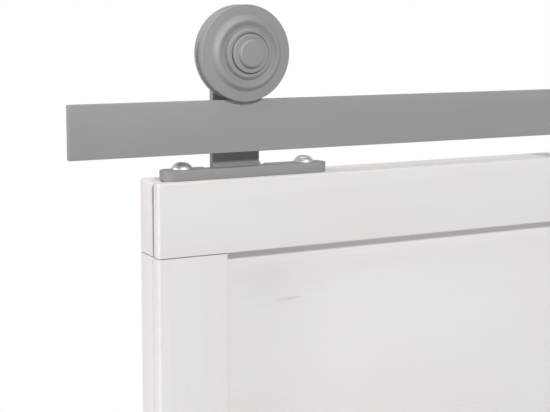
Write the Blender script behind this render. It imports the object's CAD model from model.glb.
"""Looks of a sliding barn door: a framed, white-washed pine leaf on a grey steel rail.

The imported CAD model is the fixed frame. Every piece takes its place from the box of the CAD
node that it stands for. Lengths are in metres, and the object's own are written as a number of MM.
"""

import logging
import math
import random
from collections.abc import Callable, Mapping, Sequence
from dataclasses import dataclass, field
from enum import Enum
from typing import Any

import bmesh
import bpy
from mathutils import Matrix, Vector


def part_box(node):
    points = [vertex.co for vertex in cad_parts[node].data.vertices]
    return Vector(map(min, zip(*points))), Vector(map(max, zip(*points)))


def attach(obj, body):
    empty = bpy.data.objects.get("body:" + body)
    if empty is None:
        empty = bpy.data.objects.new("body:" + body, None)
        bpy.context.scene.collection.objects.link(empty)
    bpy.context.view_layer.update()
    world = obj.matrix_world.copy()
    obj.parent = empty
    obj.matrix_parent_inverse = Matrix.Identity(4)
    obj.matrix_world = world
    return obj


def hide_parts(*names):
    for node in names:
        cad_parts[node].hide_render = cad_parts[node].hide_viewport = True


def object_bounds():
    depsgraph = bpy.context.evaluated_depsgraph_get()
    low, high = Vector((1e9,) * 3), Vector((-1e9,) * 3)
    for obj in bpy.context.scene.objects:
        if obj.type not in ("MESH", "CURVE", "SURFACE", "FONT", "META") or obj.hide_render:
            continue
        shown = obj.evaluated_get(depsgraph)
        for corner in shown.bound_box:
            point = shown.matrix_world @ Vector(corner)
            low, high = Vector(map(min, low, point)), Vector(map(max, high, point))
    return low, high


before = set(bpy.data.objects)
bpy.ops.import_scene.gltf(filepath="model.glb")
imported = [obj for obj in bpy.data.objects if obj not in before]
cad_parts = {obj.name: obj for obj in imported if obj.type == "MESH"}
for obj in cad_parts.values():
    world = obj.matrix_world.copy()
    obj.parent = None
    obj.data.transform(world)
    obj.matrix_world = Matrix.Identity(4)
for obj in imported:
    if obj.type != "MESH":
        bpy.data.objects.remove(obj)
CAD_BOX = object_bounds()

LOG = logging.getLogger("barn_door")
MM = 0.001

# Names of the attributes that carry a rounded edge, a board's pith and a board's own figure
ARRIS = "arris"
PITH = "pith"
SEED = "board_seed"

# How far a cutter reaches past the face that it cuts
PAST = 1.0 * MM
# Points closer than this are one point, and edges shorter than a sliver are dropped
WELD_GAP = 1e-6
SLIVER = 1e-7
# Edges that turn further than this are rounded
BEVEL_ABOVE_DEG = 40.0
# A board's figure is drawn from a seed up to this one, and its pith lies within this share of its width
SEED_RANGE = 90.0
PITH_SHARE = (0.1, 0.9)

ORIGIN = Vector((0, 0, 0))
UP = Vector((0, 0, 1))
TO_ROOM = Vector((0, 1, 0))
TO_WALL = Vector((0, -1, 0))

Pair = tuple[float, float]
Triple = tuple[float, float, float]
Profile = list[Pair]
Corners = tuple[Vector, Vector]


class Body(Enum):
    """The bodies that a piece can ride on."""

    RAIL = "rail"
    DOOR = "door"
    WHEEL_LEFT = "wheel_left"
    WHEEL_RIGHT = "wheel_right"


class Slot(Enum):
    """The record's material slots."""

    STEEL = "powder_steel"
    ZINC = "zinc_steel"
    RACE = "race_steel"
    PINE = "washed_pine"
    BEECH = "beech"
    RUBBER = "bumper_rubber"
    NYLON = "guide_nylon"


class Hand(Enum):
    """The two ends of the leaf."""

    LEFT = "left"
    RIGHT = "right"


class Grain(Enum):
    """Which way a board's grain runs, as the turn that lays the grain along X."""

    LEVEL = (0.0, 0.0, 0.0)
    UPRIGHT = (0.0, math.pi / 2, 0.0)


class Face(Enum):
    """What one face of a frame member looks at."""

    OUTSIDE = "outside"
    SHOW = "show"
    SEAM = "seam"
    OPENING = "opening"
    JOINT = "joint"


# ---------------------------------------------------------------------------
# Node trees
# ---------------------------------------------------------------------------


class Canvas:
    """Short calls that add and join nodes in any node tree."""

    def __init__(self, tree: bpy.types.NodeTree) -> None:
        """Keeps the tree that the calls draw on."""
        self.tree = tree

    def add(self, kind: str, values: Mapping[Any, Any] | None = None, **settings: Any) -> bpy.types.Node:
        """Adds one node.

        Args:
            kind: The node's type name.
            values: Input sockets by name or index, each with a value or with the socket to join.
            settings: Properties of the node itself.

        Returns:
            The new node.
        """
        node = self.tree.nodes.new(kind)
        for name, setting in settings.items():
            setattr(node, name, setting)
        for key, value in (values or {}).items():
            if isinstance(value, bpy.types.NodeSocket):
                self.tree.links.new(value, node.inputs[key])
            else:
                node.inputs[key].default_value = value
        return node

    def math(self, operation: str, *values: Any, clamp: bool = False) -> bpy.types.NodeSocket:
        """Adds a Math node and returns its result."""
        node = self.add("ShaderNodeMath", dict(enumerate(values)), operation=operation, use_clamp=clamp)
        return node.outputs[0]

    def vector(self, operation: str, *values: Any) -> bpy.types.NodeSocket:
        """Adds a Vector Math node and returns its vector."""
        return self.add("ShaderNodeVectorMath", dict(enumerate(values)), operation=operation).outputs[0]

    def spread(self, value: Any, low: float, high: float, out_low: float = 0.0, out_high: float = 1.0) -> Any:
        """Adds a smooth Map Range node from low..high to out_low..out_high and returns its result."""
        node = self.add("ShaderNodeMapRange", {0: value, 1: low, 2: high, 3: out_low, 4: out_high},
                        interpolation_type="SMOOTHSTEP")
        return node.outputs[0]

    def noise(self, vector: Any, scale: float, detail: float = 2.0, seed: Any = 0.0) -> bpy.types.NodeSocket:
        """Adds a four-dimensional Noise Texture and returns its value."""
        node = self.add("ShaderNodeTexNoise", {"Vector": vector, "Scale": scale, "Detail": detail, "W": seed},
                        noise_dimensions="4D")
        return node.outputs[0]

    def mix(self, factor: Any, low: Any, high: Any) -> bpy.types.NodeSocket:
        """Adds a colour Mix node and returns its colour."""
        return self.add("ShaderNodeMix", {0: factor, 6: low, 7: high}, data_type="RGBA").outputs[2]


def group_tree(name: str, kind: str, inputs: Mapping[str, tuple[str, Any]],
               outputs: Mapping[str, str]) -> tuple[Canvas, bpy.types.Node, bpy.types.Node]:
    """Makes a node group with named sockets.

    Args:
        name: The group's name.
        kind: ShaderNodeTree or GeometryNodeTree.
        inputs: Socket type and first value by name. The value may be None.
        outputs: Socket type by name.

    Returns:
        The canvas, the group's input node and its output node.
    """
    tree = bpy.data.node_groups.new(name, kind)
    for label, (socket_type, value) in inputs.items():
        socket = tree.interface.new_socket(label, in_out="INPUT", socket_type=socket_type)
        if value is not None:
            socket.default_value = value
    for label, socket_type in outputs.items():
        tree.interface.new_socket(label, in_out="OUTPUT", socket_type=socket_type)
    canvas = Canvas(tree)
    return canvas, canvas.add("NodeGroupInput"), canvas.add("NodeGroupOutput")


@dataclass(frozen=True)
class SawnFigure:
    """The figure of sawn wood: growth rings, fibres and small checks, drawn out along the grain."""

    ring_width: float = 4 * MM
    waviness: float = 24 * MM
    sway_stretch: Triple = (0.12, 1.0, 1.0)
    sway_scale: float = 9.0
    ring_power: float = 3.0
    ring_fade: float = 0.93
    blotch_scale: float = 24.0
    blotch_limits: Pair = (0.35, 0.7)
    fibre_stretch: Triple = (0.015, 1.0, 1.0)
    fibre_scale: float = 900.0
    check_stretch: Triple = (0.14, 1.0, 1.0)
    check_scale: float = 95.0
    check_rarity: float = 0.86
    check_limits: Pair = (0.24, 0.12)
    fibre_height: float = 0.4
    ring_height: float = 0.5
    check_height: float = -1.5

    def tree(self) -> bpy.types.NodeTree:
        """Builds the figure, whose grain runs along X.

        Returns:
            A group that gives growth rings, fibres, small checks and a height.
        """
        canvas, source, result = group_tree(
            "sawn_wood_figure", "ShaderNodeTree",
            {
                "Vector": ("NodeSocketVector", None),
                "Seed": ("NodeSocketFloat", 0.0),
                "Ring Width": ("NodeSocketFloat", self.ring_width),
                "Waviness": ("NodeSocketFloat", self.waviness),
            },
            {"Rings": "NodeSocketFloat", "Fibres": "NodeSocketFloat", "Checks": "NodeSocketFloat",
             "Height": "NodeSocketFloat"},
        )
        place, seed = source.outputs["Vector"], source.outputs["Seed"]
        long_place = canvas.vector("MULTIPLY", place, self.sway_stretch)
        sway = canvas.noise(long_place, self.sway_scale, 2.0, seed)
        sway = canvas.math("MULTIPLY", canvas.math("SUBTRACT", sway, 0.5), source.outputs["Waviness"])
        split = canvas.add("ShaderNodeSeparateXYZ", {0: place})
        across = canvas.math("POWER", split.outputs["Y"], 2.0)
        across = canvas.math("ADD", across, canvas.math("POWER", split.outputs["Z"], 2.0))
        radius = canvas.math("ADD", canvas.math("SQRT", across), sway)
        ring = canvas.math("FRACT", canvas.math("DIVIDE", radius, source.outputs["Ring Width"]))
        late = canvas.math("MULTIPLY", canvas.math("POWER", ring, self.ring_power),
                           canvas.spread(ring, 1.0, self.ring_fade))
        blotches = canvas.noise(long_place, self.blotch_scale, 1.0, seed)
        late = canvas.math("MULTIPLY", late, canvas.spread(blotches, *self.blotch_limits))
        fibre_place = canvas.vector("MULTIPLY", place, self.fibre_stretch)
        fibres = canvas.noise(fibre_place, self.fibre_scale, 3.0, seed)
        check_place = canvas.vector("MULTIPLY", place, self.check_stretch)
        cells = canvas.add("ShaderNodeTexVoronoi",
                           {"Vector": check_place, "Scale": self.check_scale, "W": seed},
                           voronoi_dimensions="4D")
        chance = canvas.add("ShaderNodeSeparateColor", {0: cells.outputs["Color"]}).outputs[0]
        chosen = canvas.math("GREATER_THAN", chance, self.check_rarity)
        cracks = canvas.spread(cells.outputs["Distance"], *self.check_limits)
        checks = canvas.math("MULTIPLY", cracks, chosen)
        height = canvas.math("MULTIPLY_ADD", fibres, self.fibre_height,
                             canvas.math("MULTIPLY", late, self.ring_height))
        height = canvas.math("MULTIPLY_ADD", checks, self.check_height, height)
        for label, socket in (("Rings", late), ("Fibres", fibres), ("Checks", checks), ("Height", height)):
            canvas.tree.links.new(socket, result.inputs[label])
        return canvas.tree


@dataclass(frozen=True)
class FineSpeckle:
    """Fine, even speckle, such as the texture of sprayed powder or a film of dust."""

    scale: float = 900.0
    patch_scale: float = 14.0
    patch_seed: float = 4.0
    fine_share: float = 0.45
    patch_share: float = 0.55

    def tree(self) -> bpy.types.NodeTree:
        """Builds the speckle.

        Returns:
            A group that gives a value around one half and a height.
        """
        canvas, source, result = group_tree(
            "fine_speckle", "ShaderNodeTree",
            {"Vector": ("NodeSocketVector", None), "Scale": ("NodeSocketFloat", self.scale),
             "Patches": ("NodeSocketFloat", self.patch_scale)},
            {"Value": "NodeSocketFloat", "Height": "NodeSocketFloat"},
        )
        place = source.outputs["Vector"]
        fine = canvas.noise(place, source.outputs["Scale"], 2.0)
        broad = canvas.noise(place, source.outputs["Patches"], 3.0, self.patch_seed)
        value = canvas.math("MULTIPLY_ADD", fine, self.fine_share,
                            canvas.math("MULTIPLY", broad, self.patch_share))
        canvas.tree.links.new(value, result.inputs["Value"])
        canvas.tree.links.new(fine, result.inputs["Height"])
        return canvas.tree


@dataclass(frozen=True)
class ThinAtArrises:
    """The mask of a finish that is thin along the arrises."""

    scale: float = 160.0
    amount: float = 0.5
    broken_limits: Pair = (0.25, 0.7)

    def tree(self) -> bpy.types.NodeTree:
        """Builds the mask.

        Returns:
            A group that gives a mask, 1 where the finish is thinnest.
        """
        canvas, source, result = group_tree(
            "thin_at_arrises", "ShaderNodeTree",
            {"Vector": ("NodeSocketVector", None), "Scale": ("NodeSocketFloat", self.scale),
             "Amount": ("NodeSocketFloat", self.amount)},
            {"Mask": "NodeSocketFloat"},
        )
        arris = canvas.add("ShaderNodeAttribute", attribute_name=ARRIS).outputs["Fac"]
        cloud = canvas.noise(source.outputs["Vector"], source.outputs["Scale"], 3.0)
        thin = canvas.math("MULTIPLY", arris, canvas.spread(cloud, *self.broken_limits))
        mask = canvas.math("MULTIPLY", thin, source.outputs["Amount"], clamp=True)
        canvas.tree.links.new(mask, result.inputs["Mask"])
        return canvas.tree


class Effects:
    """The shader node groups that several finishes share, each built once."""

    def __init__(self) -> None:
        """Builds the groups."""
        self.figure = SawnFigure().tree()
        self.speckle = FineSpeckle().tree()
        self.wear = ThinAtArrises().tree()


# ---------------------------------------------------------------------------
# Finishes
# ---------------------------------------------------------------------------


def new_material(name: str) -> tuple[bpy.types.Material, Canvas, bpy.types.Node]:
    """Makes an empty material.

    Args:
        name: The material's name.

    Returns:
        The material, its canvas and its Principled BSDF.
    """
    material = bpy.data.materials.new(name)
    material.use_nodes = True
    material.node_tree.nodes.clear()
    canvas = Canvas(material.node_tree)
    shader = canvas.add("ShaderNodeBsdfPrincipled")
    canvas.add("ShaderNodeOutputMaterial", {"Surface": shader.outputs[0]})
    return material, canvas, shader


def object_place(canvas: Canvas) -> bpy.types.NodeSocket:
    """Returns the Object coordinate of a material."""
    return canvas.add("ShaderNodeTexCoord").outputs["Object"]


@dataclass(frozen=True)
class WashedPine:
    """Pine brushed with a thin white wash, matt, with the figure just showing through."""

    grain: Grain
    wash: Triple = (0.790, 0.765, 0.758)
    late_wood: Triple = (0.66, 0.61, 0.58)
    warm_patch: Triple = (0.787, 0.749, 0.735)
    check: Triple = (0.34, 0.27, 0.22)
    arris: Triple = (0.715, 0.680, 0.655)
    rings_show: float = 0.15
    arris_show: float = 0.6
    fibres_show: float = 0.16
    checks_show: float = 0.2
    patch_stretch: Triple = (0.3, 1.0, 1.0)
    patch_scale: float = 26.0
    patch_limits: Pair = (0.3, 0.7)
    fibre_limits: Pair = (0.55, 0.8)
    roughness: float = 0.62
    rough_swing: float = 0.08
    rough_limits: Pair = (0.2, 0.8)
    specular: float = 0.3
    relief: float = 0.07 * MM

    def material(self, effects: Effects) -> bpy.types.Material:
        """Builds the material.

        Args:
            effects: The shared node groups.

        Returns:
            The finished material.
        """
        material, canvas, shader = new_material("washed_pine_" + self.grain.name.lower())
        pith = canvas.add("ShaderNodeAttribute", attribute_name=PITH).outputs["Vector"]
        seed = canvas.add("ShaderNodeAttribute", attribute_name=SEED).outputs["Fac"]
        place = canvas.vector("SUBTRACT", object_place(canvas), pith)
        laid = canvas.add("ShaderNodeMapping", {"Vector": place, "Rotation": self.grain.value}).outputs[0]
        figure = canvas.add("ShaderNodeGroup", node_tree=effects.figure)
        canvas.tree.links.new(laid, figure.inputs["Vector"])
        canvas.tree.links.new(seed, figure.inputs["Seed"])
        patch_place = canvas.vector("MULTIPLY", laid, self.patch_stretch)
        patches = canvas.spread(canvas.noise(patch_place, self.patch_scale, 3.0, seed), *self.patch_limits)
        ground = canvas.mix(patches, (*self.wash, 1.0), (*self.warm_patch, 1.0))
        shown = canvas.math("MULTIPLY", figure.outputs["Rings"], self.rings_show)
        ground = canvas.mix(shown, ground, (*self.late_wood, 1.0))
        fibres = canvas.spread(figure.outputs["Fibres"], *self.fibre_limits)
        fibres = canvas.math("MULTIPLY", fibres, self.fibres_show)
        ground = canvas.mix(fibres, ground, (*self.late_wood, 1.0))
        checks = canvas.math("MULTIPLY", figure.outputs["Checks"], self.checks_show)
        ground = canvas.mix(checks, ground, (*self.check, 1.0))
        wear = canvas.add("ShaderNodeGroup", node_tree=effects.wear)
        canvas.tree.links.new(laid, wear.inputs["Vector"])
        wear.inputs["Amount"].default_value = self.arris_show
        ground = canvas.mix(wear.outputs["Mask"], ground, (*self.arris, 1.0))
        canvas.tree.links.new(ground, shader.inputs["Base Color"])
        rough = canvas.spread(figure.outputs["Fibres"], *self.rough_limits,
                              self.roughness - self.rough_swing, self.roughness + self.rough_swing)
        canvas.tree.links.new(rough, shader.inputs["Roughness"])
        bump = canvas.add("ShaderNodeBump", {"Height": figure.outputs["Height"], "Distance": self.relief})
        canvas.tree.links.new(bump.outputs[0], shader.inputs["Normal"])
        shader.inputs["Specular IOR Level"].default_value = self.specular
        return material


@dataclass(frozen=True)
class Coating:
    """A plain finish with fine speckle, and a second colour where it is thin along the arrises."""

    name: str
    colour: Triple
    thin: Triple
    roughness: float = 0.45
    metallic: float = 0.0
    contrast: float = 0.05
    speckle_scale: float = 900.0
    relief: float = 0.01 * MM
    wear: float = 0.35
    specular: float = 0.5
    stretch: Triple = (1.0, 1.0, 1.0)
    tone_limits: Pair = (0.3, 0.7)
    rough_swing: float = 0.04

    def material(self, effects: Effects) -> bpy.types.Material:
        """Builds the material.

        Args:
            effects: The shared node groups.

        Returns:
            The finished material.
        """
        material, canvas, shader = new_material(self.name)
        place = canvas.vector("MULTIPLY", object_place(canvas), self.stretch)
        speckle = canvas.add("ShaderNodeGroup", node_tree=effects.speckle)
        canvas.tree.links.new(place, speckle.inputs["Vector"])
        speckle.inputs["Scale"].default_value = self.speckle_scale
        wear = canvas.add("ShaderNodeGroup", node_tree=effects.wear)
        canvas.tree.links.new(place, wear.inputs["Vector"])
        wear.inputs["Amount"].default_value = self.wear
        dark = tuple(c * (1 - self.contrast) for c in self.colour)
        light = tuple(c * (1 + self.contrast) for c in self.colour)
        tone = canvas.spread(speckle.outputs["Value"], *self.tone_limits)
        ground = canvas.mix(tone, (*dark, 1.0), (*light, 1.0))
        ground = canvas.mix(wear.outputs["Mask"], ground, (*self.thin, 1.0))
        canvas.tree.links.new(ground, shader.inputs["Base Color"])
        rough = canvas.spread(speckle.outputs["Value"], *self.tone_limits,
                              self.roughness - self.rough_swing, self.roughness + self.rough_swing)
        canvas.tree.links.new(rough, shader.inputs["Roughness"])
        bump = canvas.add("ShaderNodeBump", {"Height": speckle.outputs["Height"], "Distance": self.relief})
        canvas.tree.links.new(bump.outputs[0], shader.inputs["Normal"])
        shader.inputs["Metallic"].default_value = self.metallic
        shader.inputs["Specular IOR Level"].default_value = self.specular
        return material


COATINGS = {
    Slot.STEEL: Coating("grey_powder_coat", (0.312, 0.312, 0.312), (0.40, 0.40, 0.40), roughness=0.48,
                        contrast=0.02, wear=0.15, specular=0.3),
    Slot.ZINC: Coating("satin_zinc", (0.64, 0.64, 0.65), (0.74, 0.74, 0.74), roughness=0.46, metallic=1.0,
                       contrast=0.06, speckle_scale=420.0, relief=0.006 * MM),
    Slot.RACE: Coating("ground_bearing_steel", (0.66, 0.66, 0.67), (0.78, 0.78, 0.78), roughness=0.22,
                       metallic=1.0, contrast=0.06, speckle_scale=1500.0, relief=0.003 * MM,
                       stretch=(1.0, 0.1, 1.0)),
    Slot.BEECH: Coating("beech", (0.60, 0.42, 0.24), (0.68, 0.50, 0.30), roughness=0.6, contrast=0.14,
                        speckle_scale=700.0, relief=0.04 * MM, specular=0.3, stretch=(1.0, 1.0, 0.06)),
    Slot.RUBBER: Coating("black_rubber", (0.022, 0.022, 0.022), (0.07, 0.07, 0.07), roughness=0.7,
                         contrast=0.25, speckle_scale=600.0, relief=0.03 * MM, specular=0.35),
    Slot.NYLON: Coating("grey_nylon", (0.045, 0.045, 0.048), (0.11, 0.11, 0.115), roughness=0.48,
                        contrast=0.15, speckle_scale=500.0, relief=0.01 * MM),
}


class Paintbox:
    """Every finish of the object, built once."""

    def __init__(self) -> None:
        """Builds the shared effects and all the materials."""
        effects = Effects()
        self.pine = {grain: WashedPine(grain).material(effects) for grain in Grain}
        self.coat = {slot: coating.material(effects) for slot, coating in COATINGS.items()}


# ---------------------------------------------------------------------------
# Geometry Nodes
# ---------------------------------------------------------------------------


class GeometryTool:
    """A Geometry Nodes tree that is run once on a carrier object and leaves a plain mesh."""

    def __init__(self, name: str, inputs: Mapping[str, tuple[str, Any]]) -> None:
        """Makes the tree with its named inputs.

        Args:
            name: The tree's name.
            inputs: Socket type and first value by name.
        """
        self.canvas, self.source, self.result = group_tree(
            name, "GeometryNodeTree", {"Geometry": ("NodeSocketGeometry", None), **inputs},
            {"Geometry": "NodeSocketGeometry"})

    def close(self, geometry: bpy.types.NodeSocket) -> None:
        """Ends the tree in Realize Instances and Set Material.

        Args:
            geometry: The socket that holds the finished shape.
        """
        real = self.canvas.add("GeometryNodeRealizeInstances", {0: geometry})
        painted = self.canvas.add("GeometryNodeSetMaterial",
                                  {"Geometry": real.outputs[0], "Material": self.source.outputs["Material"]})
        self.canvas.tree.links.new(painted.outputs[0], self.result.inputs[0])

    def run(self, name: str, carrier: bpy.types.Mesh, values: Mapping[str, Any]) -> bpy.types.Mesh:
        """Runs the tree.

        Args:
            name: The new mesh's name.
            carrier: The mesh that goes in.
            values: Input values by name.

        Returns:
            The shape as a plain mesh.
        """
        holder = bpy.data.objects.new(name, carrier)
        bpy.context.scene.collection.objects.link(holder)
        modifier = holder.modifiers.new(name, "NODES")
        modifier.node_group = self.canvas.tree
        sockets = {item.name: item.identifier for item in self.canvas.tree.interface.items_tree}
        for label, value in values.items():
            modifier[sockets[label]] = value
        mesh = plain_mesh(holder, name)
        bpy.data.objects.remove(holder)
        return mesh


def plain_mesh(holder: bpy.types.Object, name: str) -> bpy.types.Mesh:
    """Turns an object with live modifiers into a plain mesh.

    Args:
        holder: The object.
        name: The new mesh's name.

    Returns:
        The evaluated mesh.
    """
    depsgraph = bpy.context.evaluated_depsgraph_get()
    mesh = bpy.data.meshes.new_from_object(holder.evaluated_get(depsgraph), depsgraph=depsgraph)
    mesh.name = name
    return mesh


class Lathe(GeometryTool):
    """Turns a profile of (radius, height) points round Z, then points it along an axis at a place."""

    def __init__(self) -> None:
        """Builds the tree: a grid whose rows follow the profile's points and whose columns go round."""
        super().__init__("turned_on_a_lathe", {
            "Steps": ("NodeSocketInt", None),
            "Points": ("NodeSocketInt", None),
            "Turn": ("NodeSocketVector", None),
            "Place": ("NodeSocketVector", None),
            "Material": ("NodeSocketMaterial", None),
        })
        canvas, source = self.canvas, self.source
        columns = canvas.math("ADD", source.outputs["Steps"], 1.0)
        grid = canvas.add("GeometryNodeMeshGrid", {"Size X": 1.0, "Size Y": 1.0, "Vertices X": columns,
                                                   "Vertices Y": source.outputs["Points"]})
        at = canvas.add("ShaderNodeSeparateXYZ", {0: canvas.add("GeometryNodeInputPosition").outputs[0]})
        angle = canvas.math("MULTIPLY", canvas.math("ADD", at.outputs["X"], 0.5), 2 * math.pi)
        last = canvas.math("SUBTRACT", source.outputs["Points"], 1.0)
        row = canvas.math("ROUND", canvas.math("MULTIPLY", canvas.math("ADD", at.outputs["Y"], 0.5), last))
        sample = canvas.add("GeometryNodeSampleIndex", {"Geometry": source.outputs["Geometry"], "Index": row},
                            data_type="FLOAT_VECTOR", clamp=True)
        canvas.tree.links.new(canvas.add("GeometryNodeInputPosition").outputs[0], sample.inputs["Value"])
        point = canvas.add("ShaderNodeSeparateXYZ", {0: sample.outputs[0]})
        east = canvas.math("MULTIPLY", point.outputs["X"], canvas.math("COSINE", angle))
        north = canvas.math("MULTIPLY", point.outputs["X"], canvas.math("SINE", angle))
        spot = canvas.add("ShaderNodeCombineXYZ", {0: east, 1: north, 2: point.outputs["Z"]})
        turned = canvas.add("GeometryNodeSetPosition",
                            {"Geometry": grid.outputs[0], "Position": spot.outputs[0]})
        whole = canvas.add("GeometryNodeMergeByDistance",
                           {"Geometry": turned.outputs[0], "Distance": WELD_GAP})
        placed = canvas.add("GeometryNodeTransform", {
            "Geometry": whole.outputs[0], "Translation": source.outputs["Place"],
            "Rotation": source.outputs["Turn"]})
        self.close(placed.outputs[0])

    def turn(self, name: str, profile: Profile, material: bpy.types.Material, steps: int = 96,
             direction: Vector = UP, place: Vector = ORIGIN) -> bpy.types.Mesh:
        """Turns one closed shape.

        Args:
            name: The mesh's name.
            profile: Points (radius, height), which run anticlockwise seen with radius to the right.
            material: Its finish.
            steps: Faces round the axis.
            direction: Where the profile's height points.
            place: Where the profile's origin goes.

        Returns:
            The turned mesh, whose faces point outwards.
        """
        carrier = bpy.data.meshes.new(name)
        carrier.from_pydata([(r, 0.0, h) for r, h in profile], [], [])
        turn = direction.to_track_quat("Z", "Y").to_euler()
        mesh = self.run(name, carrier, {
            "Steps": steps, "Points": len(profile), "Turn": tuple(turn), "Place": tuple(place),
            "Material": material})
        clean_up(mesh)
        return mesh


class Copies(GeometryTool):
    """Puts a copy of a master object on every vertex of the carrier, each turned at random about an axis."""

    def __init__(self) -> None:
        """Builds the tree."""
        super().__init__("copies_on_places", {
            "Master": ("NodeSocketObject", None),
            "Axis": ("NodeSocketVector", None),
            "Most Turn": ("NodeSocketFloat", None),
            "Seed": ("NodeSocketInt", None),
            "Material": ("NodeSocketMaterial", None),
        })
        canvas, source = self.canvas, self.source
        master = canvas.add("GeometryNodeObjectInfo",
                            {"Object": source.outputs["Master"], "As Instance": True})
        placed = canvas.add("GeometryNodeInstanceOnPoints", {
            "Points": source.outputs["Geometry"], "Instance": master.outputs["Geometry"]})
        least = canvas.math("MULTIPLY", source.outputs["Most Turn"], -1.0)
        angle = canvas.add("FunctionNodeRandomValue", {2: least, 3: source.outputs["Most Turn"],
                                                       "Seed": source.outputs["Seed"]}, data_type="FLOAT")
        turn = canvas.add("FunctionNodeAxisAngleToRotation", {"Axis": source.outputs["Axis"],
                                                              "Angle": angle.outputs[1]})
        turned = canvas.add("GeometryNodeRotateInstances", {
            "Instances": placed.outputs[0], "Rotation": turn.outputs[0], "Local Space": True})
        self.close(turned.outputs[0])

    def place(self, name: str, master: bpy.types.Mesh, places: Sequence[Vector], axis: Vector,
              material: bpy.types.Material, most_turn: float = math.pi) -> bpy.types.Mesh:
        """Copies one mesh to many places.

        Args:
            name: The mesh's name.
            master: What is copied, with its own origin at the place.
            places: Where the copies go.
            axis: The axis that each copy turns about.
            material: Its finish.
            most_turn: The largest turn either way, in radians.

        Returns:
            All the copies as one mesh.
        """
        carrier = bpy.data.meshes.new(name)
        carrier.from_pydata([tuple(p) for p in places], [], [])
        holder = bpy.data.objects.new(name + "_master", master)
        bpy.context.scene.collection.objects.link(holder)
        mesh = self.run(name, carrier, {"Master": holder, "Axis": tuple(axis), "Most Turn": most_turn,
                                        "Seed": len(places), "Material": material})
        bpy.data.objects.remove(holder)
        return mesh


class BoardStack(GeometryTool):
    """Stacks boards downwards from a start: a first, many middle ones and a last."""

    PITH_DEPTHS: float = 3.2

    def __init__(self) -> None:
        """Builds the tree."""
        super().__init__("stack_of_boards", {
            "First": ("NodeSocketObject", None),
            "Middle": ("NodeSocketObject", None),
            "Last": ("NodeSocketObject", None),
            "Start": ("NodeSocketVector", None),
            "Count": ("NodeSocketInt", None),
            "Pitch": ("NodeSocketFloat", None),
            "Height": ("NodeSocketFloat", None),
            "Depth": ("NodeSocketFloat", None),
            "Seed": ("NodeSocketInt", None),
            "Material": ("NodeSocketMaterial", None),
        })
        canvas, source = self.canvas, self.source
        kinds = canvas.add("GeometryNodeJoinGeometry")
        for label in ("Last", "Middle", "First"):
            info = canvas.add("GeometryNodeObjectInfo",
                              {"Object": source.outputs[label], "As Instance": True})
            canvas.tree.links.new(info.outputs["Geometry"], kinds.inputs[0])
        step = canvas.add("ShaderNodeCombineXYZ", {2: canvas.math("MULTIPLY", source.outputs["Pitch"], -1.0)})
        line = canvas.add("GeometryNodeMeshLine", {
            "Count": source.outputs["Count"], "Start Location": source.outputs["Start"],
            "Offset": step.outputs[0]})
        index = canvas.add("GeometryNodeInputIndex").outputs[0]
        end = canvas.math("SUBTRACT", source.outputs["Count"], 2.0)
        kind = canvas.math("ADD", canvas.math("GREATER_THAN", index, 0.5),
                           canvas.math("GREATER_THAN", index, end))
        boards = canvas.add("GeometryNodeInstanceOnPoints", {
            "Points": line.outputs[0], "Instance": kinds.outputs[0], "Pick Instance": True,
            "Instance Index": kind})
        seed = canvas.add("FunctionNodeRandomValue", {2: 0.0, 3: SEED_RANGE, "Seed": source.outputs["Seed"]},
                          data_type="FLOAT")
        seeded = canvas.add("GeometryNodeStoreNamedAttribute", {
            "Geometry": boards.outputs[0], "Name": SEED, "Value": seed.outputs[1]},
            data_type="FLOAT", domain="INSTANCE")
        across = canvas.add("FunctionNodeRandomValue",
                            {2: PITH_SHARE[0], 3: PITH_SHARE[1], "Seed": source.outputs["Seed"]},
                            data_type="FLOAT")
        behind = canvas.math("MULTIPLY", source.outputs["Depth"], self.PITH_DEPTHS)
        rise = canvas.math("MULTIPLY", source.outputs["Height"], across.outputs[1])
        offset = canvas.add("ShaderNodeCombineXYZ", {1: behind, 2: rise})
        spot = canvas.add("GeometryNodeInputPosition").outputs[0]
        pith = canvas.vector("ADD", spot, offset.outputs[0])
        hearted = canvas.add("GeometryNodeStoreNamedAttribute", {
            "Geometry": seeded.outputs[0], "Name": PITH, "Value": pith},
            data_type="FLOAT_VECTOR", domain="INSTANCE")
        self.close(hearted.outputs[0])


class Thread(GeometryTool):
    """Winds a screw thread round Z, from Z = 0 upwards, and points it along an axis at a place."""

    STEPS_PER_TURN: int = 40
    RIDGE_SIDES: int = 6

    def __init__(self) -> None:
        """Builds the tree."""
        super().__init__("screw_thread", {
            "Turns": ("NodeSocketFloat", None),
            "Radius": ("NodeSocketFloat", None),
            "Length": ("NodeSocketFloat", None),
            "Ridge": ("NodeSocketFloat", None),
            "Turn": ("NodeSocketVector", None),
            "Place": ("NodeSocketVector", None),
            "Material": ("NodeSocketMaterial", None),
        })
        canvas, source = self.canvas, self.source
        helix = canvas.add("GeometryNodeCurveSpiral", {
            "Resolution": self.STEPS_PER_TURN, "Rotations": source.outputs["Turns"],
            "Start Radius": source.outputs["Radius"], "End Radius": source.outputs["Radius"],
            "Height": source.outputs["Length"]})
        ridge = canvas.add("GeometryNodeCurvePrimitiveCircle",
                           {"Resolution": self.RIDGE_SIDES, "Radius": source.outputs["Ridge"]})
        wound = canvas.add("GeometryNodeCurveToMesh", {
            "Curve": helix.outputs[0], "Profile Curve": ridge.outputs[0], "Fill Caps": True})
        placed = canvas.add("GeometryNodeTransform", {
            "Geometry": wound.outputs[0], "Translation": source.outputs["Place"],
            "Rotation": source.outputs["Turn"]})
        self.close(placed.outputs[0])


# ---------------------------------------------------------------------------
# Meshes
# ---------------------------------------------------------------------------


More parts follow.
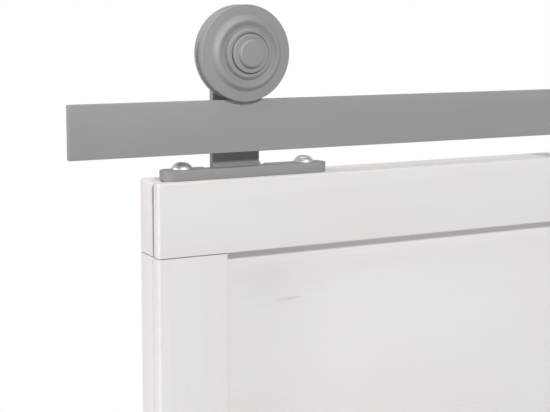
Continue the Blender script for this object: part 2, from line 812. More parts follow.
def clean_up(mesh: bpy.types.Mesh, smooth_deg: float = 32.0) -> None:
    """Welds doubles, drops slivers and loose edges, turns faces outwards and shades a mesh smooth.

    Args:
        mesh: The mesh.
        smooth_deg: Edges that turn further than this stay sharp.
    """
    shape = bmesh.new()
    shape.from_mesh(mesh)
    bmesh.ops.remove_doubles(shape, verts=shape.verts, dist=WELD_GAP)
    bmesh.ops.dissolve_degenerate(shape, edges=shape.edges, dist=SLIVER)
    bmesh.ops.delete(shape, geom=[edge for edge in shape.edges if edge.is_wire], context="EDGES")
    bmesh.ops.recalc_face_normals(shape, faces=shape.faces)
    for face in shape.faces:
        face.smooth = True
    shape.to_mesh(mesh)
    shape.free()
    mesh.set_sharp_from_angle(angle=math.radians(smooth_deg))


def arc(centre: Pair, radius: float, start: float, end: float, steps: int = 6) -> Profile:
    """Returns the points of an arc, with its angles in degrees."""
    turns = (math.radians(start + (end - start) * i / steps) for i in range(steps + 1))
    return [(centre[0] + radius * math.cos(t), centre[1] + radius * math.sin(t)) for t in turns]


def swell(start: Pair, end: Pair, steps: int = 14) -> Profile:
    """Returns points that lead from start to end in a smooth S."""
    run, rise = end[0] - start[0], end[1] - start[1]
    return [(start[0] + run * i / steps, start[1] + rise * (1 - math.cos(math.pi * i / steps)) / 2)
            for i in range(steps + 1)]


def hexagon(corner: float, centre: Pair = (0.0, 0.0)) -> Profile:
    """Returns the corners of a hexagon, each at the same distance from its centre."""
    turns = (k * math.pi / 3 for k in range(6))
    return [(centre[0] + corner * math.cos(t), centre[1] + corner * math.sin(t)) for t in turns]


def lying(a: float, b: float, height: float) -> Vector:
    """Lays a point of an outline flat, with its height along Z."""
    return Vector((a, b, height))


def standing(a: float, b: float, height: float) -> Vector:
    """Stands a point of an outline up, with its height along Y."""
    return Vector((a, height, b))


def lengthwise(a: float, b: float, height: float) -> Vector:
    """Turns a point of a cross-section so that its height runs along X."""
    return Vector((height, a, b))


def extrude(name: str, outline: Profile, place: Callable[[float, float, float], Vector],
            low: float, high: float) -> bpy.types.Mesh:
    """Extrudes an outline into a closed slab.

    Args:
        name: The mesh's name.
        outline: Points (a, b) in order.
        place: Gives a point's place from its a, b and height.
        low: Height of the first face.
        high: Height of the last face.

    Returns:
        The slab.
    """
    count = len(outline)
    points = [tuple(place(a, b, h)) for h in (low, high) for a, b in outline]
    sides = [(i, (i + 1) % count, count + (i + 1) % count, count + i) for i in range(count)]
    mesh = bpy.data.meshes.new(name)
    mesh.from_pydata(points, [], [tuple(range(count)), tuple(range(2 * count - 1, count - 1, -1)), *sides])
    clean_up(mesh)
    return mesh


def box_shape(name: str, low: Vector, high: Vector) -> bpy.types.Mesh:
    """Returns a box between two corners."""
    outline = [(low.x, low.y), (high.x, low.y), (high.x, high.y), (low.x, high.y)]
    return extrude(name, outline, lying, low.z, high.z)


def cut_box(x: Pair, y: Pair, z: Pair) -> Corners:
    """Returns the two corners of a box from where it starts and ends along each axis."""
    return Vector((x[0], y[0], z[0])), Vector((x[1], y[1], z[1]))


def worked(mesh: bpy.types.Mesh, cutters: Sequence[bpy.types.Mesh] = (), keep: Sequence[bpy.types.Mesh] = (),
           bevel: float = 0.0, segments: int = 3, weighted: bool = False) -> bpy.types.Mesh:
    """Works a mesh as a maker would: its edges are rounded, then holes and recesses are cut.

    Args:
        mesh: The blank.
        cutters: Shapes that are cut away.
        keep: Shapes outside which nothing stays.
        bevel: Radius of the rounded edges, and 0 leaves them sharp.
        segments: Faces across a rounded edge.
        weighted: Whether each edge carries its own share of the radius.

    Returns:
        A new mesh whose rounded edges are marked as arrises.
    """
    holder = bpy.data.objects.new(mesh.name, mesh)
    bpy.context.scene.collection.objects.link(holder)
    while len(mesh.materials) < 2:
        mesh.materials.append(None)
    if bevel:
        rounding = holder.modifiers.new("arrises", "BEVEL")
        rounding.width, rounding.segments, rounding.material = bevel, segments, 1
        rounding.limit_method = "WEIGHT" if weighted else "ANGLE"
        rounding.angle_limit = math.radians(BEVEL_ABOVE_DEG)
        rounding.use_clamp_overlap = True
    tools = []
    for operation, shapes in (("INTERSECT", keep), ("DIFFERENCE", cutters)):
        for shape in shapes:
            tool = bpy.data.objects.new(shape.name, shape)
            bpy.context.scene.collection.objects.link(tool)
            tools.append(tool)
            cut = holder.modifiers.new("cut", "BOOLEAN")
            cut.operation, cut.object, cut.solver = operation, tool, "MANIFOLD"
    done = plain_mesh(holder, mesh.name)
    for spent in (holder, *tools):
        bpy.data.objects.remove(spent)
    flags = [float(p.material_index == 1) for p in done.polygons]
    done.attributes.new(ARRIS, "FLOAT", "FACE").data.foreach_set("value", flags)
    done.polygons.foreach_set("material_index", [0] * len(done.polygons))
    clean_up(done)
    done.materials.clear()
    return done


@dataclass(frozen=True)
class Span:
    """The box of a CAD node, with the points on it that pieces are placed from."""

    low: Vector
    high: Vector

    @classmethod
    def of(cls, node: str) -> "Span":
        """Returns the box of one CAD node."""
        return cls(*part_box(node))

    @property
    def middle(self) -> Vector:
        """The middle of the box."""
        return (self.low + self.high) / 2

    @property
    def size(self) -> Vector:
        """The box's three sides."""
        return self.high - self.low


@dataclass(frozen=True)
class DomeHead:
    """A screw's dome and socket. The first four values are shares of the head's radius or height."""

    rim: float = 0.16
    crown: float = 0.5
    socket: float = 0.88
    socket_floor: float = 0.45
    ease: float = 0.2 * MM
    dome_steps: int = 14
    steps: int = 64


DOME = DomeHead()


@dataclass(frozen=True)
class Workshop:
    """The finishes and the tools that every sub-assembly works with."""

    paints: Paintbox
    lathe: Lathe
    copies: Copies
    stack: BoardStack
    thread: Thread


@dataclass
class Assembly:
    """What every sub-assembly shares: its workshop and the way that it hands over a piece."""

    shop: Workshop
    made: list[str] = field(default_factory=list, init=False)

    def hand_over(self, mesh: bpy.types.Mesh, name: str, body: Body, slot: Slot, nodes: Sequence[str] = (),
                  material: bpy.types.Material | None = None) -> bpy.types.Object:
        """Makes an object of a mesh, dresses it and puts it on its body.

        Args:
            mesh: The mesh, already in its place.
            name: The piece's name.
            body: The body that it rides on.
            slot: The record's material slot.
            nodes: The CAD nodes that it stands for.
            material: Its finish, where it isn't the slot's own.

        Returns:
            The piece.
        """
        piece = bpy.data.objects.new(name, mesh)
        bpy.context.scene.collection.objects.link(piece)
        mesh.materials.clear()
        mesh.materials.append(material or self.coat(slot))
        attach(piece, body.value)
        if nodes:
            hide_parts(*nodes)
        self.made.append(name)
        return piece

    def coat(self, slot: Slot) -> bpy.types.Material:
        """Returns the finish of a material slot."""
        return self.shop.paints.coat[slot]

    def dress(self, slot: Slot, *nodes: str) -> None:
        """Gives CAD nodes whose shape is right the slot's finish.

        Args:
            slot: The record's material slot.
            nodes: The CAD nodes.
        """
        for node in nodes:
            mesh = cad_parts[node].data
            mesh.materials.clear()
            mesh.materials.append(self.coat(slot))
            self.made.append(node)

    def drill(self, radius: float, depth: float, direction: Vector = UP, place: Vector = ORIGIN,
              steps: int = 40) -> bpy.types.Mesh:
        """Makes the round shape that a drill takes out, which reaches past both faces.

        Args:
            radius: The drill's radius.
            depth: How thick the drilled piece is.
            direction: Which way the drill goes.
            place: Where the hole's axis meets the first face.
            steps: Faces round the hole.

        Returns:
            The shape to cut away.
        """
        profile = [(0.0, -PAST), (radius, -PAST), (radius, depth + PAST), (0.0, depth + PAST)]
        return self.shop.lathe.turn("drill", profile, self.coat(Slot.STEEL), steps, direction, place)

    def dome_screw(self, name: str, radius: float, height: float, shank: Pair,
                   slot: Slot, direction: Vector) -> bpy.types.Mesh:
        """Makes one dome-headed screw with a hexagonal socket, whose head stands on the origin.

        Args:
            name: The mesh's name.
            radius: Radius of the head.
            height: Height of the head.
            shank: Radius and length of the shank.
            slot: The record's material slot.
            direction: Where the head points.

        Returns:
            The screw.
        """
        rim, crown = DOME.rim * height, DOME.crown * radius
        middle = (height**2 - rim**2 - radius**2 + crown**2) / (2 * (height - rim))
        ball = math.hypot(radius, rim - middle)
        start, end = (math.degrees(math.atan2(h - middle, r)) for r, h in ((radius, rim), (crown, height)))
        dome = arc((0.0, middle), ball, start, end, DOME.dome_steps)
        profile = [(0.0, -shank[1]), (shank[0], -shank[1]), (shank[0], 0.0), (radius - DOME.ease, 0.0),
                   (radius, DOME.ease), *dome, (0.0, height)]
        head = self.shop.lathe.turn(name, profile, self.coat(slot), DOME.steps)
        socket = extrude(name + "_socket", hexagon(DOME.socket * crown), lying, DOME.socket_floor * height,
                         height + PAST)
        screw = worked(head, [socket])
        screw.transform(direction.to_track_quat("Z", "Y").to_matrix().to_4x4())
        return screw


# ---------------------------------------------------------------------------
# Rail, fixings, stops and floor guide
# ---------------------------------------------------------------------------


@dataclass
class RailSet(Assembly):
    """Everything that stays on the wall and on the floor."""

    arris: float = 0.5 * MM
    hole_r: float = 4.5 * MM
    standoff_chamfer: float = 1.0 * MM
    tapped: Pair = (4.0 * MM, 18.0 * MM)
    stud: Pair = (5.0 * MM, 16.0 * MM)
    standoff_steps: int = 64
    washer_slack: float = 0.4 * MM
    washer_ease: float = 0.2 * MM
    washer_chamfer: float = 0.3 * MM
    washer_steps: int = 48
    head_r: float = 8.0 * MM
    head_h: float = 4.0 * MM
    shank: Pair = (3.9 * MM, 23.6 * MM)
    stop_head: Pair = (4.8 * MM, 2.8 * MM)
    stop_shank: Pair = (2.4 * MM, 20.0 * MM)
    stop_corner_r: float = 3.0 * MM
    fixings: int = 4

    def places(self) -> list[Vector]:
        """Returns the four places on the wall plane where the standoffs are fixed."""
        span = Span.of("rail_standoffs")
        radius = span.size.z / 2
        first, last = span.low.x + radius, span.high.x - radius
        step = (last - first) / (self.fixings - 1)
        return [Vector((first + i * step, span.low.y, span.middle.z)) for i in range(self.fixings)]

    def at_depth(self, y: float) -> list[Vector]:
        """Returns the fixing places at another depth."""
        return [Vector((p.x, y, p.z)) for p in self.places()]

    def rail(self) -> None:
        """Makes the flat rail with its eased arrises and its fixing holes."""
        span = Span.of("track_rail")
        drill = self.drill(self.hole_r, span.size.y, TO_ROOM)
        holes = self.shop.copies.place("holes", drill, self.at_depth(span.low.y), UP,
                                       self.coat(Slot.STEEL), 0.0)
        bar = worked(box_shape("flat_rail", span.low, span.high), [holes], bevel=self.arris)
        self.hand_over(bar, "flat_rail", Body.RAIL, Slot.STEEL, ["track_rail"])

    def standoffs(self) -> None:
        """Turns one standoff, chamfered at both ends and bored for its screws, and copies it."""
        span = Span.of("rail_standoffs")
        radius, length, ease = span.size.z / 2, span.size.y, self.standoff_chamfer
        stud_r, stud_depth = self.stud
        tapped_r, tapped_depth = self.tapped
        profile = [(stud_r, 0.0), (radius - ease, 0.0), (radius, ease), (radius, length - ease),
                   (radius - ease, length), (tapped_r, length), (tapped_r, length - tapped_depth),
                   (0.0, length - tapped_depth), (0.0, stud_depth), (stud_r, stud_depth), (stud_r, 0.0)]
        steel = self.coat(Slot.STEEL)
        one = self.shop.lathe.turn("standoff", profile, steel, self.standoff_steps, TO_ROOM)
        row = self.shop.copies.place("standoffs", one, self.at_depth(span.low.y), TO_ROOM, steel)
        clean_up(row)
        self.hand_over(row, "standoffs", Body.RAIL, Slot.STEEL, ["rail_standoffs"])

    def screws_and_washers(self) -> None:
        """Makes the rail's screws and washers as copies of one screw and one washer."""
        span = Span.of("rail_washers")
        thick, outer, inner = span.size.y, span.size.z / 2, self.shank[0] + self.washer_slack
        ease, chamfer = self.washer_ease, self.washer_chamfer
        flat = [(inner, 0.0), (outer - ease, 0.0), (outer, ease), (outer, thick - chamfer),
                (outer - chamfer, thick), (inner, thick), (inner, 0.0)]
        zinc, steel = self.coat(Slot.ZINC), self.coat(Slot.STEEL)
        washer = self.shop.lathe.turn("washer", flat, zinc, self.washer_steps, TO_ROOM)
        washers = self.shop.copies.place("washers", washer, self.at_depth(span.low.y), TO_ROOM, zinc)
        clean_up(washers)
        self.hand_over(washers, "washers", Body.RAIL, Slot.ZINC, ["rail_washers"])
        screw = self.dome_screw("rail_screw", self.head_r, self.head_h, self.shank, Slot.STEEL, TO_ROOM)
        screws = self.shop.copies.place("dome_screws", screw, self.at_depth(span.high.y), TO_ROOM, steel)
        clean_up(screws)
        self.hand_over(screws, "dome_screws", Body.RAIL, Slot.STEEL, ["rail_screws"])

    def stops(self) -> None:
        """Makes the two stop blocks and their four screws."""
        heads = Span.of("stop_screws")
        rise = heads.size.z / 2 - self.stop_head[0]
        spots = []
        for hand in Hand:
            node = "end_stop_" + hand.value
            span = Span.of(node)
            r, low, high = self.stop_corner_r, span.low, span.high
            outline = [(low.x, low.y), (high.x, low.y), *arc((high.x - r, high.y - r), r, 0, 90),
                       *arc((low.x + r, high.y - r), r, 90, 180)]
            block = extrude(node + "_block", outline, lying, low.z, high.z)
            mesh = worked(block, bevel=self.arris)
            self.hand_over(mesh, node + "_block", Body.RAIL, Slot.STEEL, [node])
            spots += [Vector((span.middle.x, high.y, side * rise)) for side in (-1, 1)]
        screw = self.dome_screw("stop_screw", *self.stop_head, self.stop_shank, Slot.ZINC, TO_ROOM)
        screws = self.shop.copies.place("stop_dome_screws", screw, spots, TO_ROOM, self.coat(Slot.ZINC))
        clean_up(screws)
        self.hand_over(screws, "stop_dome_screws", Body.RAIL, Slot.ZINC, ["stop_screws"])
        self.dress(Slot.RUBBER, "stop_bumper_left", "stop_bumper_right")

    def floor_guide(self) -> None:
        """Dresses the floor guide."""
        self.dress(Slot.STEEL, "floor_guide")
        self.dress(Slot.NYLON, "guide_glider")
        self.dress(Slot.ZINC, "guide_rivets")

    def build(self) -> list[str]:
        """Makes every piece of the set and returns their names."""
        self.rail()
        self.standoffs()
        self.screws_and_washers()
        self.stops()
        self.floor_guide()
        return self.made


# ---------------------------------------------------------------------------
# Door leaf
# ---------------------------------------------------------------------------


@dataclass
class DoorLeaf(Assembly):
    """The leaf: two layers of frame members round a panel of level boards."""

    outer_r: float = 2.5 * MM
    seam_r: float = 4.0 * MM
    tight_seam_r: float = 1.3 * MM
    inner_r: float = 1.0 * MM
    joint_r: float = 0.8 * MM
    hidden_r: float = 0.3 * MM
    groove: Pair = (8 * MM, 16 * MM)
    rebate_slack: float = 1.0 * MM
    rebate_back: float = 0.2 * MM
    chamfer: float = 1.2 * MM
    tongue: Pair = (6 * MM, 6 * MM)
    tongue_slack: float = 0.4 * MM
    board_gap: float = 0.5 * MM
    boards: int = 10
    seed: int = 5
    stack_seed: int = 11
    pith_behind_mm: Pair = (35.0, 60.0)
    arris_segments: int = 5
    seam: Pair = (3.2 * MM, 7.0 * MM)
    joint: Pair = (0.7 * MM, 3.0 * MM)

    def radius(self, one: Face, other: Face, rail: bool) -> float:
        """Returns the radius of the arris between two faces of a frame member.

        Args:
            one: What one face looks at.
            other: What the other face looks at.
            rail: Whether the member is a rail and not a stile.

        Returns:
            The radius.
        """
        pair = {one, other}
        if pair == {Face.OUTSIDE, Face.SEAM}:
            return self.seam_r if rail else self.tight_seam_r
        if pair <= {Face.OUTSIDE, Face.SHOW}:
            return self.outer_r
        if Face.OPENING in pair and pair & {Face.SHOW, Face.OUTSIDE}:
            return self.inner_r
        if Face.JOINT in pair and pair & {Face.SHOW, Face.OUTSIDE}:
            return self.joint_r
        return self.hidden_r

    def faces(self, node: str) -> dict[tuple[int, int], Face]:
        """Says what each face of a frame member looks at.

        Args:
            node: The CAD node's name.

        Returns:
            The face by its axis and its sign.
        """
        front = node.endswith("_front")
        looks = {(1, -1): Face.SHOW if front else Face.SEAM, (1, 1): Face.SEAM if front else Face.SHOW}
        if "rail" in node:
            looks |= {(0, -1): Face.OUTSIDE, (0, 1): Face.OUTSIDE}
            top = 1 if node.startswith("top") else -1
            looks |= {(2, top): Face.OUTSIDE, (2, -top): Face.OPENING}
        else:
            looks |= {(2, -1): Face.JOINT, (2, 1): Face.JOINT}
            out = -1 if node.startswith("left") else 1
            looks |= {(0, out): Face.OUTSIDE, (0, -out): Face.OPENING}
        return looks

    def member(self, node: str, number: int, cuts: Sequence[Corners]) -> None:
        """Makes one frame member with each arris at its own radius.

        Args:
            node: The CAD node's name.
            number: Its number, which picks its figure.
            cuts: Boxes that are cut out of it where they reach it.
        """
        span = Span.of(node)
        blank = box_shape(node + "_board", span.low, span.high)
        looks = self.faces(node)
        shape = bmesh.new()
        shape.from_mesh(blank)
        weight = shape.edges.layers.float.new("bevel_weight_edge")
        for edge in shape.edges:
            pair = []
            for face in edge.link_faces:
                axis = max(range(3), key=lambda i: abs(face.normal[i]))
                pair.append(looks[axis, 1 if face.normal[axis] > 0 else -1])
            edge[weight] = self.radius(*pair, rail="rail" in node) / self.seam_r
        shape.to_mesh(blank)
        shape.free()
        cutters = [box_shape("cut", low, high) for low, high in cuts
                   if all(low[i] < span.high[i] and high[i] > span.low[i] for i in range(3))]
        mesh = worked(blank, cutters, bevel=self.seam_r, segments=self.arris_segments, weighted=True)
        grain = Grain.LEVEL if "rail" in node else Grain.UPRIGHT
        chance = random.Random(self.seed + number)
        share = chance.uniform(*PITH_SHARE)
        behind = span.middle.y + chance.uniform(*self.pith_behind_mm) * MM
        if grain is Grain.LEVEL:
            pith = (span.middle.x, behind, span.low.z + share * span.size.z)
        else:
            pith = (span.low.x + share * span.size.x, behind, span.middle.z)
        count = len(mesh.vertices)
        mesh.attributes.new(PITH, "FLOAT_VECTOR", "POINT").data.foreach_set("vector", pith * count)
        seeds = [chance.uniform(0, SEED_RANGE)] * count
        mesh.attributes.new(SEED, "FLOAT", "POINT").data.foreach_set("value", seeds)
        self.hand_over(mesh, node + "_board", Body.DOOR, Slot.PINE, [node], self.shop.paints.pine[grain])

    def open_joints(self) -> list[Corners]:
        """Returns the boxes of the open seam round both rails and of the four open corner joints."""
        top, foot = Span.of("top_rail_front"), Span.of("bottom_rail_front")
        stile, back = Span.of("left_stile_front"), Span.of("top_rail_back")
        low, high = foot.low, Vector((top.high.x, back.high.y, top.high.z))
        half, deep = self.seam[0] / 2, self.seam[1]
        slip = self.joint[0] / 2
        whole = (low.x - PAST, high.x + PAST)
        across = (top.high.y - half, top.high.y + half)
        boxes = [cut_box(whole, across, (high.z - deep, high.z + PAST)),
                 cut_box(whole, across, (low.z - PAST, low.z + deep))]
        for end in ((low.x - PAST, low.x + deep), (high.x - deep, high.x + PAST)):
            boxes += [cut_box(end, across, rise)
                      for rise in ((top.low.z - slip, high.z + PAST), (low.z - PAST, foot.high.z + slip))]
        deep, inner = self.joint[1], stile.size.x
        for z in (top.low.z, foot.high.z):
            line = (z - slip, z + slip)
            for run, edge in (((low.x - PAST, low.x + inner), low.x - PAST),
                              ((high.x - inner, high.x + PAST), high.x - deep)):
                boxes += [cut_box(run, skin, line)
                          for skin in ((low.y - PAST, low.y + deep), (high.y - deep, high.y + PAST))]
                boxes.append(cut_box((edge, edge + deep + PAST), (low.y - PAST, high.y + PAST), line))
        return boxes

    def frame_members(self) -> None:
        """Makes the eight frame members, with the panel's rebate and the floor guide's groove."""
        top, last = Span.of("panel_board_01"), Span.of(f"panel_board_{self.boards:02d}")
        slack = self.rebate_slack
        rebate = cut_box((last.low.x - slack, top.high.x + slack),
                         (last.low.y - PAST, top.high.y + self.rebate_back),
                         (last.low.z - slack, top.high.z + slack))
        foot = Span.of("bottom_rail_back")
        wide, deep = self.groove
        centre = Span.of("guide_glider").middle.y
        groove = cut_box((foot.low.x - PAST, foot.high.x + PAST), (centre - wide / 2, centre + wide / 2),
                         (foot.low.z - PAST, foot.low.z + deep))
        joints = self.open_joints()
        names = [f"{member}_{side}" for member in ("top_rail", "bottom_rail", "left_stile", "right_stile")
                 for side in ("front", "back")]
        for number, name in enumerate(names):
            cuts = list(joints)
            if name.endswith("back"):
                cuts.append(rebate)
            if name == "bottom_rail_back":
                cuts.append(groove)
            self.member(name, number, cuts)
        self.dress(Slot.BEECH, "frame_dowels")

    def board(self, name: str, size: Vector, has_tongue: bool, has_groove: bool) -> bpy.types.Object:
        """Makes one panel board with its lower front corner at the origin.

        Args:
            name: The board's name.
            size: Its length, thickness and face height.
            has_tongue: Whether a tongue stands on its top edge.
            has_groove: Whether a groove runs in its lower edge.

        Returns:
            The board as an object that the stack can copy.
        """
        c, m, t, h = self.chamfer, size.y / 2, size.y, size.z
        half, rise = self.tongue[0] / 2, self.tongue[1]
        g, d = half + self.tongue_slack / 2, rise + self.tongue_slack
        outline = [(0.0, c), (c, 0.0)]
        outline += [(m - g, 0.0), (m - g, d), (m + g, d), (m + g, 0.0)] if has_groove else []
        outline += [(t - c, 0.0), (t, c), (t, h - c), (t - c, h)]
        tongue = [(m + half, h), (m + half, h + rise), (m - half, h + rise), (m - half, h)]
        outline += tongue if has_tongue else []
        outline += [(c, h), (0.0, h - c)]
        blank = extrude(name, outline, lengthwise, 0.0, size.x)
        holder = bpy.data.objects.new(name, worked(blank, bevel=self.hidden_r, segments=2))
        bpy.context.scene.collection.objects.link(holder)
        return holder

    def panel(self) -> None:
        """Stacks the panel's boards, tongue in groove, from the top down."""
        nodes = [f"panel_board_{i:02d}" for i in range(1, self.boards + 1)]
        top, foot = Span.of(nodes[0]), Span.of(nodes[-1])
        pitch = (top.high.z - foot.low.z) / self.boards
        size = Vector((top.size.x, top.size.y, pitch - self.board_gap))
        kinds = {
            "First": self.board("first_board", size, False, True),
            "Middle": self.board("middle_board", size, True, True),
            "Last": self.board("last_board", size, True, False),
        }
        start = (top.low.x, top.low.y, top.high.z - pitch)
        mesh = self.shop.stack.run("level_boards", bpy.data.meshes.new("start"), {
            **kinds, "Start": start, "Count": self.boards, "Pitch": pitch, "Height": size.z, "Depth": size.y,
            "Seed": self.stack_seed, "Material": self.shop.paints.pine[Grain.LEVEL]})
        for holder in kinds.values():
            bpy.data.objects.remove(holder)
        self.hand_over(mesh, "level_boards", Body.DOOR, Slot.PINE, nodes, self.shop.paints.pine[Grain.LEVEL])

    def build(self) -> list[str]:
        """Makes every piece of the leaf and returns their names."""
        self.frame_members()
        self.panel()
        return self.made


# ---------------------------------------------------------------------------
# Hangers
# ---------------------------------------------------------------------------


@dataclass
class Hanger(Assembly):
    """One hanger: plate, strap, weld, screws and the axle's fastenings."""

    hand: Hand = Hand.LEFT
    plate_corner_r: float = 7.5 * MM
    notch_slack: float = 6.0 * MM
    arris: float = 0.8 * MM
    plate_hole_r: float = 2.8 * MM
    head: Pair = (8.0 * MM, 4.8 * MM)
    shank: Pair = (2.4 * MM, 53.0 * MM)
    axle_hole_r: float = 5.3 * MM
    bore_r: float = 5.0 * MM
    ripples: int = 26
    ripple_depth: float = 0.16
    ripple_steps: int = 6
    weld_arc_steps: int = 6
    weld_hollow: float = 0.72
    weld_smooth_deg: float = 60.0
    corner_steps: int = 8
    hole_steps: int = 32
    strap_steps: int = 32
    nut_chamfer: float = 1.0 * MM
    nut_ease: float = 0.2 * MM
    shank_play: float = 0.05 * MM
    thread_sunk: float = 0.1 * MM
    thread_ridge: float = 0.35 * MM
    thread_lead: float = 1.4
    thread_turns: float = 1.6

    def node(self, name: str) -> str:
        """Returns the name of this hanger's CAD node."""
        return f"{name}_{self.hand.value}"

    def give(self, mesh: bpy.types.Mesh, name: str, slot: Slot, nodes: Sequence[str] = ()) -> None:
        """Hands over a piece of this hanger, which rides on the leaf."""
        self.hand_over(mesh, self.node(name), Body.DOOR, slot, [self.node(n) for n in nodes])

    def screw_places(self) -> list[Vector]:
        """Returns where the two plate screws' heads stand."""
        span = Span.of(self.node("hanger_screws"))
        plate = Span.of(self.node("hanger_plate"))
        reach = span.size.x / 2 - self.head[0]
        return [Vector((span.middle.x + side * reach, span.middle.y, plate.high.z)) for side in (-1, 1)]

    def plate(self) -> None:
        """Makes the plate with round corners, the notch behind and two screw holes."""
        plate, strap = Span.of(self.node("hanger_plate")), Span.of(self.node("hanger_strap"))
        r, low, high = self.plate_corner_r, plate.low, plate.high
        left, right = strap.low.x - self.notch_slack, strap.high.x + self.notch_slack
        steps = self.corner_steps
        outline = [*arc((low.x + r, low.y + r), r, 180, 270, steps),
                   *arc((high.x - r, low.y + r), r, 270, 360, steps),
                   *arc((high.x - r, high.y - r), r, 0, 90, steps), (right, high.y), (right, strap.low.y),
                   (left, strap.low.y), (left, high.y), *arc((low.x + r, high.y - r), r, 90, 180, steps)]
        blank = extrude("plate", outline, lying, low.z, high.z)
        holes = [self.drill(self.plate_hole_r, plate.size.z, place=Vector((p.x, p.y, low.z)),
                            steps=self.hole_steps) for p in self.screw_places()]
        self.give(worked(blank, holes, bevel=self.arris), "notched_plate", Slot.STEEL, ["hanger_plate"])

    def strap(self) -> None:
        """Makes the strap with its round top and its axle hole."""
        span, axle = Span.of(self.node("hanger_strap")), Span.of(self.node("bearing_inner")).middle
        low, high, r = span.low, span.high, span.size.x / 2
        dome = arc((span.middle.x, axle.z), r, 0, 180, self.strap_steps)
        blank = extrude("strap", [(low.x, low.z), (high.x, low.z), *dome], standing, low.y, high.y)
        hole = self.drill(self.axle_hole_r, span.size.y, TO_ROOM, Vector((axle.x, low.y, axle.z)))
        self.give(worked(blank, [hole], bevel=self.arris), "round_topped_strap", Slot.STEEL, ["hanger_strap"])

    def weld(self) -> None:
        """Lays the weld bead between plate and strap, with a ripple where each drop of metal set."""
        span = Span.of(self.node("hanger_weld"))
        leg, steps, arc_steps = span.size.z, self.ripples * self.ripple_steps, self.weld_arc_steps
        rows = []
        for i in range(steps + 1):
            x = span.low.x + span.size.x * i / steps
            ripple = abs(math.sin(math.pi * self.ripples * i / steps))
            reach = leg * (1 - self.ripple_depth + self.ripple_depth * ripple)
            row = [Vector((x, span.high.y, span.low.z))]
            for k in range(arc_steps + 1):
                turn = math.pi / 2 * k / arc_steps
                bulge = self.weld_hollow + (1 - self.weld_hollow) * abs(math.cos(2 * turn))
                row.append(Vector((x, span.high.y - reach * bulge * math.cos(turn),
                                   span.low.z + reach * bulge * math.sin(turn))))
            rows.append(row)
        width = len(rows[0])
        starts = [(i * width, (i + 1) * width) for i in range(steps)]
        faces = [(here + k, here + (k + 1) % width, ahead + (k + 1) % width, ahead + k)
                 for here, ahead in starts for k in range(width)]
        faces += [tuple(range(width)), tuple(steps * width + k for k in reversed(range(width)))]
        mesh = bpy.data.meshes.new("weld_bead")
        mesh.from_pydata([tuple(p) for row in rows for p in row], [], faces)
        clean_up(mesh, self.weld_smooth_deg)
        self.give(mesh, "weld_bead", Slot.STEEL, ["hanger_weld"])

    def screws(self) -> None:
        """Makes the two dome-headed plate screws."""
        one = self.dome_screw("plate_screw", *self.head, self.shank, Slot.ZINC, UP)
        pair = self.shop.copies.place("plate_screws", one, self.screw_places(), UP, self.coat(Slot.ZINC))
        clean_up(pair)
        self.give(pair, "plate_screws", Slot.ZINC, ["hanger_screws"])

    def axle(self) -> None:
        """Makes the chamfered nut and the thread that shows behind it, and dresses the rest of the axle."""
        span, tail = Span.of(self.node("axle_nut")), Span.of(self.node("axle_bolt"))
        centre, corner, thick = span.middle, span.size.x / 2, span.size.y
        outline = hexagon(corner, (centre.x, centre.z))
        blank = extrude("nut", outline, standing, span.low.y, span.high.y)
        flat, wide, chamfer = corner * math.cos(math.pi / 6), corner + self.nut_ease, self.nut_chamfer
        foot = Vector((centre.x, span.low.y, centre.z))
        profile = [(0.0, 0.0), (flat, 0.0), (wide, chamfer), (wide, thick - chamfer), (flat, thick),
                   (0.0, thick)]
        barrel = self.shop.lathe.turn("barrel", profile, self.coat(Slot.ZINC), direction=TO_ROOM, place=foot)
        bore = self.drill(self.bore_r, thick, TO_ROOM, foot)
        self.give(worked(blank, [bore], [barrel]), "chamfered_nut", Slot.ZINC, ["axle_nut"])
        proud, ridge = tail.high.y - span.high.y, self.thread_ridge
        shank_r = self.bore_r - self.shank_play
        thread = self.shop.thread.run("tail_thread", bpy.data.meshes.new("start"), {
            "Turns": self.thread_turns, "Radius": shank_r - self.thread_sunk, "Length": proud - 3 * ridge,
            "Ridge": ridge, "Turn": tuple(TO_ROOM.to_track_quat("Z", "Y").to_euler()),
            "Place": (centre.x, span.high.y + self.thread_lead * ridge, centre.z),
            "Material": self.coat(Slot.ZINC)})
        clean_up(thread)
        self.give(thread, "tail_thread", Slot.ZINC)
        self.dress(Slot.ZINC, *(self.node(n) for n in ("axle_bolt", "axle_spacer", "axle_washer")))
        self.dress(Slot.RACE, *(self.node(n) for n in ("bearing_inner", "bearing_balls")))

    def build(self) -> list[str]:
        """Makes every piece of the hanger and returns their names."""
        self.plate()
        self.strap()
        self.weld()
        self.screws()
        self.axle()
        return self.made


# ---------------------------------------------------------------------------
# Rollers
# ---------------------------------------------------------------------------


